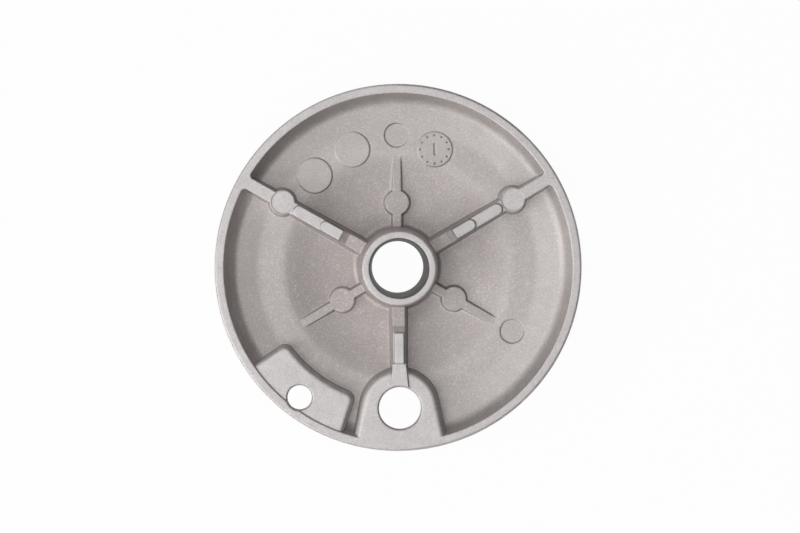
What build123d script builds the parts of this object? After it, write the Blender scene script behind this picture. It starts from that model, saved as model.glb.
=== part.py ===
"""Burner flame spreader, one aluminium die casting.

It lies on its crown with the hollow underside up: Z = 0 is the crown, where the
cap sits in use, and +Z points out of the hub. All sizes are in millimetres.
"""
from build123d import *
import math
import os

os.makedirs("parts", exist_ok=True)

# Levels above the crown
rim_z = 14.0
hub_rise = 8.0
wall_drop = 4.0
slope_drop = 1.0
bowl_drop = 1.5
root_drop = 1.1
short_rib_drop = 0.13
throat_len = 3.3

# Widths of the zones from the rim inwards, and of the hub from its mouth outwards
rim_r = 47.5
rim_w = 2.3
wall_w = 1.9
slope_w = 7.0
flat_w = 6.6
dish_w = 8.7
mouth_r = 7.7
hub_top_w = 2.0
hub_flare = 0.9
throat_taper = 0.95

# Wall thicknesses
floor_t = 2.5
flange_t = 2.5
pocket_wall = 2.0
crown_w = 5.0
flange_reach = 2.0
flange_slant = 0.8

# Roundings
rim_edge_round = 0.5
wall_foot_round = 3.0
bend_round = 12.0
bowl_round = 120.0
hub_foot_round = 1.1
hub_edge_round = 0.6
mouth_edge_round = 0.2
junction_round = 1.1
probe_corner_round = 2.4
pocket_corner_round = 2.0

# Ribs from the hub to the rim, with the worn pads that stand on them
draft = 6.5
boss_angles = (30, 150)
long_w = 3.1
low_rib_drop = 0.8
low_rib_end_r = 15.2
ramp_w = 1.7
pad_w = 2.95
pad_rise = 0.55
pad_end_r = 31.0
tongue_w = 2.8
tongue_rise = 1.05
tongue_end_r = 23.0
spark_tongue_w = 2.4
spark_tongue_end_r = 24.8
fan_start_w = 3.5
fan_end_w = 5.8
fan_rise = 0.35

# Ribs that run out into the floor, and the round bosses on both kinds of rib
short_angles = (90, 210, 330)
short_draft = 10.0
short_w = 2.2
short_boss_at_r = 16.8
long_boss_at_r = 34.4
boss_r = 3.15
boss_mark_r = 2.9
boss_mark_depth = 0.12

# Pad and hole for the spark electrode
spark_angle = 270
spark_from_rim = 8.8
spark_pad_r = 10.35
spark_edge_round = 1.9
spark_flare = 12.0
spark_hole_r = 5.45

# Pad and hole for the thermocouple
probe_angle = 232.1
probe_from_rim = 3.0
probe_half_span = 19.0
probe_pad_w = 10.6
probe_pad_drop = 0.35
probe_edge_round = 1.5
probe_hole_r = 3.15
hole_edge = 0.35
hole_edge_angle = 90

# Round marks that the die leaves on the floor, each at a radius and an angle
disc_r = 4.55
disc_rise = 0.2
dial_spot = (32.1, 72.0)
disc_spots = ((32.2, 131.6), (32.8, 110.6), dial_spot)
dial_dot_count = 12
dial_dot_at_r = 3.7
dial_dot_r = 0.25
dial_depth = 0.15
dial_pointer_w = 0.5
dial_pointer_len = 3.0
pin_mark_r = 3.15
pin_mark_depth = 0.2
pin_mark_spots = ((34.3, 90.0), (34.1, 330.0))

# Flame ports in the crown
port_count = 29
port_w = 2.0
port_depth = 4.0
port_first_angle = 290
port_span = 280

# Levels and radii that follow from the sizes above
hub_z = rim_z + hub_rise
slope_z = rim_z - wall_drop
mid_z = slope_z - slope_drop
bowl_z = mid_z - bowl_drop
root_z = bowl_z - root_drop
short_rib_z = mid_z - short_rib_drop
low_rib_z = rim_z - low_rib_drop
probe_pad_z = rim_z - probe_pad_drop
pocket_z = rim_z - flange_t
foot_z = root_z - floor_t / 2

rim_in_r = rim_r - rim_w
slope_r = rim_in_r - wall_w
mid_out_r = slope_r - slope_w
mid_in_r = mid_out_r - flat_w
bowl_r = mid_in_r - dish_w
hub_top_r = mouth_r + hub_top_w
hub_base_r = hub_top_r + hub_flare
throat_r = mouth_r - throat_taper
throat_top_z = root_z - floor_t + throat_len
crown_r = rim_r - flange_reach
crown_in_r = crown_r - crown_w
spark_at_r = rim_in_r - spark_from_rim
probe_at_r = rim_in_r - probe_from_rim
probe_pad_in_r = rim_in_r - probe_pad_w

long_angles = (*boss_angles, spark_angle)
pad_start_r = low_rib_end_r + ramp_w
rib_start_r = (throat_r + hub_base_r) / 2
rim_mid_r = (rim_r + rim_in_r) / 2
crown_mid_r = (crown_r + crown_in_r) / 2
wall_mid_r = (crown_r + slope_r) / 2
overlap = 1.0


def polar(radius, angle):
    return (radius * math.cos(math.radians(angle)), radius * math.sin(math.radians(angle)))


def corner(sketch, x, y):
    return sketch.vertices().sort_by_distance((x, y, 0))[0]


def round_junctions(sketch, angle):
    """Rounds the two corners where a rib runs into the inside of the rim."""
    half_angle = math.degrees(math.asin(long_w / 2 / rim_in_r))
    ends = (angle - half_angle, angle + half_angle)
    fillet([corner(sketch, *polar(rim_in_r, end)) for end in ends], junction_round)


def spread(top_z, angle):
    """How far a side with this draft stands out at the foot."""
    return (top_z - foot_z) * math.tan(math.radians(angle))


def trapezoid(top_width, top_z, angle):
    """Section across a rib, wider at the foot by its draft."""
    half = top_width / 2
    foot = half + spread(top_z, angle)
    Polygon((-foot, foot_z), (foot, foot_z), (half, top_z), (-half, top_z), align=None)


def bar(angle, start_r, end_r, width):
    """Straight bar from one radius to another."""
    with PolarLocations((start_r + end_r) / 2, 1, angle):
        Rectangle(end_r - start_r, width)


def spark_outline(radius):
    """Round outline about the electrode hole, with straight sides that flare out past the rim."""
    flare = math.radians(spark_flare)
    near = (-radius * math.sin(flare), radius * math.cos(flare))
    far = (rim_r, radius / math.cos(flare) + rim_r * math.tan(flare))
    with PolarLocations(spark_at_r, 1, spark_angle):
        Circle(radius)
        Polygon(near, (near[0], -near[1]), (far[0], -far[1]), far, align=None)


def probe_outline(sketch, grow, corner_round, end_r):
    """Sector about the thermocouple hole, with rounded inner corners."""
    start_r = probe_pad_in_r - grow
    span = probe_half_span + math.degrees(grow / probe_at_r)
    ends = (probe_angle - span, probe_angle + span)
    Circle(end_r)
    Circle(start_r, mode=Mode.SUBTRACT)
    Polygon((0, 0), polar(2 * end_r, ends[0]), polar(2 * end_r, ends[1]), align=None, mode=Mode.INTERSECT)
    fillet([corner(sketch, *polar(start_r, end)) for end in ends], corner_round)


with BuildPart() as spark_pad:
    with BuildSketch(Plane.XY.offset(foot_z)):
        spark_outline(spark_pad_r)
    extrude(amount=rim_z - foot_z)
    spark_edges = spark_pad.edges().group_by(Axis.Z)[-1]
    fillet(spark_edges.sort_by_distance((0, 0, rim_z))[:-1], spark_edge_round)

with BuildPart() as probe_pad:
    with BuildSketch(Plane.XY.offset(foot_z)) as probe_foot:
        probe_outline(probe_foot, 0, probe_corner_round, 2 * rim_r)
    extrude(amount=probe_pad_z - foot_z)
    probe_edges = probe_pad.edges().group_by(Axis.Z)[-1]
    fillet(probe_edges.sort_by_distance((0, 0, probe_pad_z))[:-1], probe_edge_round)

with BuildPart() as raised:
    # Ribs from the hub to the rim, which start lower at the hub
    for angle in long_angles:
        with BuildSketch(Plane.YZ.rotated((0, 0, angle))):
            trapezoid(long_w, rim_z, draft)
        extrude(amount=rim_r)
    with BuildSketch(Plane.XZ):
        Polygon(
            (0, low_rib_z),
            (low_rib_end_r, low_rib_z),
            (pad_start_r, rim_z),
            (pad_start_r, hub_z),
            (0, hub_z),
            align=None,
        )
    revolve(axis=Axis.Z, mode=Mode.SUBTRACT)

    # Ribs that run out into the floor
    for angle in short_angles:
        with BuildSketch(Plane.YZ.rotated((0, 0, angle))):
            trapezoid(short_w, short_rib_z, short_draft)
        extrude(amount=mid_in_r)

    # Bosses on the ribs
    with BuildSketch(Plane.XY.offset(foot_z)):
        with Locations(*[polar(short_boss_at_r, angle) for angle in short_angles]):
            Circle(boss_r + spread(short_rib_z, short_draft))
    extrude(amount=short_rib_z - foot_z, taper=short_draft)
    with BuildSketch(Plane.XY.offset(foot_z)):
        with Locations(*[polar(long_boss_at_r, angle) for angle in boss_angles]):
            Circle(boss_r + spread(rim_z, draft))
    extrude(amount=rim_z - foot_z, taper=draft)

    # Pads for the electrode and the thermocouple
    add(spark_pad.part)
    add(probe_pad.part)

    # All of them start in the hub wall and end inside the crown and the rim
    with BuildSketch(Plane.XZ):
        Polygon(
            (rib_start_r, foot_z),
            (wall_mid_r, foot_z),
            (wall_mid_r, pocket_z),
            (rim_mid_r, pocket_z),
            (rim_mid_r, rim_z),
            (rib_start_r, rim_z),
            align=None,
        )
    revolve(axis=Axis.Z, mode=Mode.INTERSECT)

    # Rounded corners between the ribs and the rim
    with BuildSketch(Plane.XY.offset(pocket_z)) as rim_corners:
        Circle(rim_mid_r)
        Circle(rim_in_r, mode=Mode.SUBTRACT)
        for angle in boss_angles:
            bar(angle, long_boss_at_r, rim_mid_r, long_w)
        for angle in boss_angles:
            round_junctions(rim_corners, angle)
    extrude(amount=rim_z - pocket_z)

with BuildPart() as chamber:
    with BuildSketch(Plane.XZ):
        Polygon(
            (0, -overlap),
            (0, root_z - floor_t),
            (hub_base_r, root_z - floor_t),
            (bowl_r, bowl_z - floor_t),
            (mid_in_r, mid_z - floor_t),
            (crown_in_r, mid_z - floor_t),
            (crown_in_r, -overlap),
            align=None,
        )
    revolve(axis=Axis.Z)
    with BuildSketch(Plane.XY.offset(-overlap)):
        spark_outline(spark_pad_r)
    extrude(amount=rim_z, mode=Mode.SUBTRACT)
    with BuildSketch(Plane.XY.offset(-overlap)) as probe_keep:
        probe_outline(probe_keep, 0, probe_corner_round, rim_mid_r)
    extrude(amount=rim_z, mode=Mode.SUBTRACT)

with BuildPart() as spreader:
    with BuildSketch(Plane.XZ) as section:
        Polygon(
            (throat_r, 0),
            (throat_r, throat_top_z),
            (mouth_r, hub_z),
            (hub_top_r, hub_z),
            (hub_base_r, root_z),
            (bowl_r, bowl_z),
            (mid_in_r, mid_z),
            (mid_out_r, mid_z),
            (slope_r, slope_z),
            (rim_in_r, rim_z),
            (rim_r, rim_z),
            (rim_r, pocket_z),
            (crown_r, pocket_z - flange_slant),
            (crown_r, 0),
            align=None,
        )
        fillet(corner(section, rim_r, rim_z), rim_edge_round)
        fillet(corner(section, slope_r, slope_z), wall_foot_round)
        fillet(corner(section, mid_out_r, mid_z), bend_round)
        fillet(corner(section, mid_in_r, mid_z), bend_round)
        fillet(corner(section, bowl_r, bowl_z), bowl_round)
        fillet(corner(section, hub_base_r, root_z), hub_foot_round)
        fillet(corner(section, hub_top_r, hub_z), hub_edge_round)
        fillet(corner(section, mouth_r, hub_z), mouth_edge_round)
    revolve(axis=Axis.Z)
    add(raised.part)

    # Worn pads on top of the long ribs
    for angle in boss_angles:
        for end_r, width, rise in ((tongue_end_r, tongue_w, tongue_rise), (pad_end_r, pad_w, pad_rise)):
            with BuildSketch(Plane.XY.offset(low_rib_z)):
                bar(angle, pad_start_r, end_r - width / 2, width)
                with Locations(polar(end_r - width / 2, angle)):
                    Circle(width / 2)
            extrude(amount=rim_z + rise - low_rib_z)
    with BuildSketch(Plane.XY.offset(low_rib_z)):
        bar(spark_angle, pad_start_r, spark_tongue_end_r, spark_tongue_w)
    extrude(amount=rim_z + tongue_rise - low_rib_z)
    with BuildSketch(Plane.XY.offset(low_rib_z).rotated((0, 0, spark_angle))):
        Polygon(
            (spark_tongue_end_r, -fan_start_w / 2),
            (spark_at_r, -fan_end_w / 2),
            (spark_at_r, fan_end_w / 2),
            (spark_tongue_end_r, fan_start_w / 2),
            align=None,
        )
    extrude(amount=rim_z + fan_rise - low_rib_z)

    # Round marks on the floor and on the bosses
    with BuildSketch(Plane.XY.offset(mid_z - floor_t / 2)):
        with Locations(*[polar(*spot) for spot in disc_spots]):
            Circle(disc_r)
    extrude(amount=floor_t / 2 + disc_rise)
    with BuildSketch(Plane.XY.offset(mid_z + disc_rise)):
        with Locations(polar(*dial_spot)):
            with PolarLocations(dial_dot_at_r, dial_dot_count):
                Circle(dial_dot_r)
            Rectangle(dial_pointer_w, dial_pointer_len)
    extrude(amount=-dial_depth, mode=Mode.SUBTRACT)
    with BuildSketch(Plane.XY.offset(mid_z - pin_mark_depth)):
        with Locations(*[polar(*spot) for spot in pin_mark_spots]):
            Circle(pin_mark_r)
    extrude(amount=rim_z - mid_z, mode=Mode.SUBTRACT)
    with BuildSketch(Plane.XY.offset(rim_z)):
        with Locations(*[polar(long_boss_at_r, angle) for angle in boss_angles]):
            Circle(boss_mark_r)
    extrude(amount=-boss_mark_depth, mode=Mode.SUBTRACT)

    # Gas chamber, and the pockets under the two pads that open outwards
    add(chamber.part, mode=Mode.SUBTRACT)
    with BuildSketch(Plane.XY.offset(-overlap)):
        spark_outline(spark_pad_r - pocket_wall)
    extrude(amount=pocket_z + overlap, mode=Mode.SUBTRACT)
    with BuildSketch(Plane.XY.offset(-overlap)) as probe_pocket:
        probe_outline(probe_pocket, -pocket_wall, pocket_corner_round, rim_r + overlap)
    extrude(amount=pocket_z + overlap, mode=Mode.SUBTRACT)

    # Holes for the electrode and the thermocouple
    with Locations((*polar(spark_at_r, spark_angle), rim_z)):
        CounterSinkHole(spark_hole_r, spark_hole_r + hole_edge, counter_sink_angle=hole_edge_angle)
    with Locations((*polar(probe_at_r, probe_angle), probe_pad_z)):
        CounterSinkHole(probe_hole_r, probe_hole_r + hole_edge, counter_sink_angle=hole_edge_angle)

    # Flame ports
    with BuildSketch(Plane.XY):
        with PolarLocations(crown_mid_r, port_count, port_first_angle, port_span, endpoint=True):
            Rectangle(crown_w + 2 * overlap, port_w)
    extrude(amount=port_depth, mode=Mode.SUBTRACT)

spreader.part.label = "flame_spreader"
export_step(spreader.part, "parts/flame_spreader.step")
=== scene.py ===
"""Look of the burner flame spreader: cast aluminium on white, under soft light from the left and above."""
import math

import bpy
from mathutils import Matrix, Vector


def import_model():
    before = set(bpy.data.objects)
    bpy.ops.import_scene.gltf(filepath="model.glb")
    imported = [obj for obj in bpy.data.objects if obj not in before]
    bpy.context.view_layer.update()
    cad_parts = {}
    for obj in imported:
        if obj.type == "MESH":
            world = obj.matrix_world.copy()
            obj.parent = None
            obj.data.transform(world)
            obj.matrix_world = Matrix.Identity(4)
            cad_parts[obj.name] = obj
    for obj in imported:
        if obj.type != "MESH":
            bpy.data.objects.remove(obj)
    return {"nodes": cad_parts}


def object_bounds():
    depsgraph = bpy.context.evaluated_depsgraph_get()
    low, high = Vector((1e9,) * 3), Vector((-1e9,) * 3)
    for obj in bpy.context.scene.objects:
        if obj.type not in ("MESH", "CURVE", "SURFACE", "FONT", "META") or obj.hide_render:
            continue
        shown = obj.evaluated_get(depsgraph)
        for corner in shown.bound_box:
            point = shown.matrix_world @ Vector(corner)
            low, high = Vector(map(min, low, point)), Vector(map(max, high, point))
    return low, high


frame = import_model()
cad_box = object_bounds()

MM = 0.001

# Camera, in the photograph's own pixels where a size is named so
IMAGE_W = 800
RIM_DIAMETER_PX = 367.4
AXIS_OFFSET_PX = (1.58, 1.15)
VIEW_DISTANCE = 0.9
LEAN_LEFT = 0.0266
LEAN_UP = 0.0237
ROLL = math.radians(0.65)
SENSOR = 36.0

# Each lamp's elevation and azimuth in degrees, its power in watts and its width in metres
LAMPS = {
    "key": (30, 200, 11.0, 0.9),
    "overhead": (80, 195, 11.3, 1.6),
    "upper_left": (38, 115, 3.0, 1.2),
    "lower_left": (34, 250, 4.4, 1.0),
}
LAMP_DISTANCE = 1.6
WORLD_COLOUR = (1.0, 1.0, 1.0)
WORLD_STRENGTH = 0.03

# Floor, with the share of its own glow in what is seen of it
FLOOR_SIZE = 200.0
FLOOR_COLOUR = (0.8, 0.8, 0.8)
FLOOR_GLOW = 0.97

# Where the ground metal of the tops starts and is full: heights, and the upward part of the normal
RIM_Z = 14.0 * MM
GROUND_Z = (13.25 * MM, 13.4 * MM)
GROUND_UP = (0.85, 0.97)

# Radii up to which the bore's wall carries painted shade and the bowl is darker, and at which that has
# faded out
BORE_SHADE_R = (7.65 * MM, 7.85 * MM)
BOWL_R = (26.0 * MM, 30.5 * MM)

# Colours of the metal, and of the painted highlight and painted shade laid over it
SKIN_DARK = (0.57, 0.53, 0.515)
SKIN_LIGHT = (0.64, 0.60, 0.585)
GROUND_METAL = (0.745, 0.715, 0.712)
WORN_EDGE = (0.80, 0.77, 0.765)
# Painted highlight where the feet of walls would catch light
FOOT_HIGHLIGHT = (0.84, 0.81, 0.80)
SPECK_DARK = (0.45, 0.41, 0.40)
SPECK_LIGHT = (0.88, 0.85, 0.84)
BOWL = (0.455, 0.395, 0.385)
# Painted shade darkening the creases
CREASE_SHADE = (0.20, 0.175, 0.17)
# Painted shade on the bore's wall
BORE_SHADE = (0.06, 0.054, 0.05)

# How much of each colour is laid over the ones before it, where it is strongest
BOWL_SHARE = 0.42
STAIN_SHARE = 0.3
SPECK_DARK_SHARE = 0.25
SPECK_LIGHT_SHARE = 0.4
WORN_EDGE_SHARE = 0.6
FOOT_HIGHLIGHT_SHARE = 0.75
CREASE_SHADE_SHARE = 0.85
BORE_SHADE_SHARE = 0.95

# Noises in the metal: scale per metre and detail, then the values between which each one takes effect
GRAIN = (2400, 2)
STAIN = (320, 4)
FLOW = (45, 3)
FLOW_RANGE = (0.3, 0.7)
STAIN_RANGE = (0.45, 0.75)
SPECK_DARK_RANGE = (0.30, 0.50)
SPECK_LIGHT_RANGE = (0.50, 0.70)
SHINE_RANGE = (0.2, 0.8)

# How far worn edges, the painted highlight at the feet of walls and the painted shade in creases reach,
# and the openness over which each fades out
WORN_EDGE_REACH = 0.35 * MM
WORN_EDGE_RANGE = (0.35, 0.85)
FOOT_HIGHLIGHT_REACH = 1.0 * MM
FOOT_HIGHLIGHT_RANGE = (0.35, 0.95)
CREASE_SHADE_REACH = 0.4 * MM
CREASE_SHADE_RANGE = (0.45, 0.95)

# Surface of the metal: each bump has a strength and a depth
METALLIC = 0.85
ROUGHNESS = (0.54, 0.64)
EDGE_ROUND = 0.55 * MM
STAIN_BUMP = (0.10, 0.05 * MM)
GRAIN_BUMP = (0.6, 0.06 * MM)
CORNER_SAMPLES = 8


class Nodes:
    """Short hand for making and linking shader nodes."""

    def __init__(self, tree):
        self.tree = tree
        tree.nodes.clear()

    def add(self, kind, **settings):
        node = self.tree.nodes.new(kind)
        for name, value in settings.items():
            setattr(node, name, value)
        return node

    def link(self, source, target):
        self.tree.links.new(source, target)


def noise(n, coords, kind):
    scale, detail = kind
    node = n.add("ShaderNodeTexNoise")
    node.inputs["Scale"].default_value = scale
    node.inputs["Detail"].default_value = detail
    n.link(coords, node.inputs["Vector"])
    return node.outputs["Fac"]


def remap(n, value, from_range, to_low, to_high):
    """Turns one range of values smoothly into another."""
    node = n.add("ShaderNodeMapRange", interpolation_type="SMOOTHSTEP")
    node.inputs["From Min"].default_value = from_range[0]
    node.inputs["From Max"].default_value = from_range[1]
    node.inputs["To Min"].default_value = to_low
    node.inputs["To Max"].default_value = to_high
    n.link(value, node.inputs["Value"])
    return node.outputs["Result"]


def combine(n, operation, first, second):
    node = n.add("ShaderNodeMath", operation=operation)
    n.link(first, node.inputs[0])
    n.link(second, node.inputs[1])
    return node.outputs["Value"]


def mix(n, factor, first, second):
    """Lays the second colour over the first."""
    node = n.add("ShaderNodeMix", data_type="RGBA")
    n.link(factor, node.inputs["Factor"])
    for socket, colour in ((node.inputs["A"], first), (node.inputs["B"], second)):
        if isinstance(colour, tuple):
            socket.default_value = (*colour, 1.0)
        else:
            n.link(colour, socket)
    return node.outputs["Result"]


def bump(n, height, size, normal):
    strength, depth = size
    node = n.add("ShaderNodeBump")
    node.inputs["Strength"].default_value = strength
    node.inputs["Distance"].default_value = depth
    n.link(height, node.inputs["Height"])
    n.link(normal, node.inputs["Normal"])
    return node.outputs["Normal"]


def openness(n, reach, inside):
    """Low in hollow corners, or on sharp edges when it looks inside the metal."""
    node = n.add("ShaderNodeAmbientOcclusion", inside=inside, samples=CORNER_SAMPLES)
    node.inputs["Distance"].default_value = reach
    return node.outputs["AO"]


def height_of(n, vector):
    node = n.add("ShaderNodeSeparateXYZ")
    n.link(vector, node.inputs["Vector"])
    return node.outputs["Z"]


def radius_of(n, vector):
    flat = n.add("ShaderNodeVectorMath", operation="MULTIPLY")
    flat.inputs[1].default_value = (1, 1, 0)
    n.link(vector, flat.inputs[0])
    node = n.add("ShaderNodeVectorMath", operation="LENGTH")
    n.link(flat.outputs["Vector"], node.inputs[0])
    return node.outputs["Value"]


def ground_tops(n, coords):
    """The rim, the pads and the tops of the ribs, which were ground flat after casting."""
    normal = n.add("ShaderNodeNewGeometry").outputs["Normal"]
    high = remap(n, height_of(n, coords), GROUND_Z, 0, 1)
    facing_up = remap(n, height_of(n, normal), GROUND_UP, 0, 1)
    return combine(n, "MULTIPLY", high, facing_up)


def cast_aluminium():
    material = bpy.data.materials.new("cast_aluminium")
    material.use_nodes = True
    n = Nodes(material.node_tree)
    out = n.add("ShaderNodeOutputMaterial")
    shader = n.add("ShaderNodeBsdfPrincipled")
    shader.inputs["Metallic"].default_value = METALLIC
    n.link(shader.outputs["BSDF"], out.inputs["Surface"])
    coords = n.add("ShaderNodeTexCoord").outputs["Object"]

    # The blasted skin has a fine grain, on faint stains as wide as a rib and wider
    grain = noise(n, coords, GRAIN)
    stain = noise(n, coords, STAIN)
    flow = noise(n, coords, FLOW)
    radius = radius_of(n, coords)
    colour = mix(n, remap(n, flow, FLOW_RANGE, 0, 1), SKIN_DARK, SKIN_LIGHT)
    # The bowl is darker and pinker towards the hub
    colour = mix(n, remap(n, radius, BOWL_R, BOWL_SHARE, 0), colour, BOWL)
    colour = mix(n, remap(n, stain, STAIN_RANGE, 0, STAIN_SHARE), colour, GROUND_METAL)
    colour = mix(n, ground_tops(n, coords), colour, GROUND_METAL)
    colour = mix(n, remap(n, grain, SPECK_DARK_RANGE, SPECK_DARK_SHARE, 0), colour, SPECK_DARK)
    colour = mix(n, remap(n, grain, SPECK_LIGHT_RANGE, 0, SPECK_LIGHT_SHARE), colour, SPECK_LIGHT)

    # Edges are worn bright, the feet of walls get a painted highlight, and creases and the bore's wall get
    # painted shade
    edge = openness(n, WORN_EDGE_REACH, True)
    foot_highlight = openness(n, FOOT_HIGHLIGHT_REACH, False)
    crease_shade = openness(n, CREASE_SHADE_REACH, False)
    colour = mix(n, remap(n, edge, WORN_EDGE_RANGE, WORN_EDGE_SHARE, 0), colour, WORN_EDGE)
    colour = mix(n, remap(n, foot_highlight, FOOT_HIGHLIGHT_RANGE, FOOT_HIGHLIGHT_SHARE, 0), colour, FOOT_HIGHLIGHT)
    colour = mix(n, remap(n, crease_shade, CREASE_SHADE_RANGE, CREASE_SHADE_SHARE, 0), colour, CREASE_SHADE)
    colour = mix(n, remap(n, radius, BORE_SHADE_R, BORE_SHADE_SHARE, 0), colour, BORE_SHADE)
    n.link(colour, shader.inputs["Base Color"])
    n.link(remap(n, stain, SHINE_RANGE, *ROUGHNESS), shader.inputs["Roughness"])

    rounded = n.add("ShaderNodeBevel", samples=CORNER_SAMPLES)
    rounded.inputs["Radius"].default_value = EDGE_ROUND
    surface = bump(n, stain, STAIN_BUMP, rounded.outputs["Normal"])
    surface = bump(n, grain, GRAIN_BUMP, surface)
    n.link(surface, shader.inputs["Normal"])
    return material


def white_when_seen(n, background, other):
    """Shows the background to camera, glossy and transmission rays, and the other shader to the rest."""
    path = n.add("ShaderNodeLightPath")
    seen = combine(n, "MAXIMUM", path.outputs["Is Camera Ray"], path.outputs["Is Glossy Ray"])
    seen = combine(n, "MAXIMUM", seen, path.outputs["Is Transmission Ray"])
    shader = n.add("ShaderNodeMixShader")
    n.link(seen, shader.inputs["Fac"])
    n.link(other, shader.inputs[1])
    n.link(background, shader.inputs[2])
    return shader.outputs["Shader"]


def floor():
    bpy.ops.mesh.primitive_plane_add(size=FLOOR_SIZE, location=(0, 0, cad_box[0].z))
    plane = bpy.context.object
    plane.name = "floor"
    material = bpy.data.materials.new("pale_floor")
    material.use_nodes = True
    n = Nodes(material.node_tree)
    out = n.add("ShaderNodeOutputMaterial")
    diffuse = n.add("ShaderNodeBsdfDiffuse")
    diffuse.inputs["Color"].default_value = (*FLOOR_COLOUR, 1.0)
    glow = n.add("ShaderNodeEmission")
    pale = n.add("ShaderNodeMixShader")
    pale.inputs["Fac"].default_value = FLOOR_GLOW
    n.link(diffuse.outputs["BSDF"], pale.inputs[1])
    n.link(glow.outputs["Emission"], pale.inputs[2])
    seen = white_when_seen(n, pale.outputs["Shader"], diffuse.outputs["BSDF"])
    n.link(seen, out.inputs["Surface"])
    plane.data.materials.append(material)


def world():
    sky = bpy.data.worlds.new("studio")
    sky.use_nodes = True
    bpy.context.scene.world = sky
    n = Nodes(sky.node_tree)
    out = n.add("ShaderNodeOutputWorld")
    light = n.add("ShaderNodeBackground")
    light.inputs["Color"].default_value = (*WORLD_COLOUR, 1.0)
    light.inputs["Strength"].default_value = WORLD_STRENGTH
    n.link(light.outputs["Background"], out.inputs["Surface"])


def lamps():
    """Soft lamps overhead and to the left, all aimed at the middle of the casting."""
    aim = Vector((0, 0, RIM_Z))
    for name, (elevation, azimuth, power, width) in LAMPS.items():
        lamp = bpy.data.lights.new(name, "AREA")
        lamp.size = width
        lamp.energy = power
        obj = bpy.data.objects.new(name, lamp)
        lift = Matrix.Rotation(math.radians(-elevation), 3, "Y")
        swing = Matrix.Rotation(math.radians(azimuth), 3, "Z")
        direction = swing @ lift @ Vector((1, 0, 0))
        obj.location = aim + LAMP_DISTANCE * direction
        obj.rotation_euler = direction.to_track_quat("Z", "Y").to_euler()
        bpy.context.scene.collection.objects.link(obj)


def camera():
    """Looks down on the underside, from slightly to the left and above as the photograph is held."""
    data = bpy.data.cameras.new("camera")
    obj = bpy.data.objects.new("camera", data)
    metres_per_px = (cad_box[1].x - cad_box[0].x) / RIM_DIAMETER_PX
    data.sensor_width = SENSOR
    data.lens = SENSOR * VIEW_DISTANCE / (IMAGE_W * metres_per_px)
    data.clip_end = FLOOR_SIZE
    back = Vector((-LEAN_LEFT, LEAN_UP, 1)).normalized()
    right = Vector((math.sin(ROLL), math.cos(ROLL), 0)).cross(back).normalized()
    up = back.cross(right)
    offset = AXIS_OFFSET_PX[0] * right + AXIS_OFFSET_PX[1] * up
    place = Matrix((right, up, back)).transposed().to_4x4()
    place.translation = Vector((0, 0, RIM_Z)) + metres_per_px * offset + VIEW_DISTANCE * back
    obj.matrix_world = place
    bpy.context.scene.collection.objects.link(obj)
    bpy.context.scene.camera = obj


bpy.context.scene.view_settings.view_transform = "Standard"
metal = cast_aluminium()
for node in frame["nodes"].values():
    node.data.materials.clear()
    node.data.materials.append(metal)
floor()
world()
lamps()
camera()
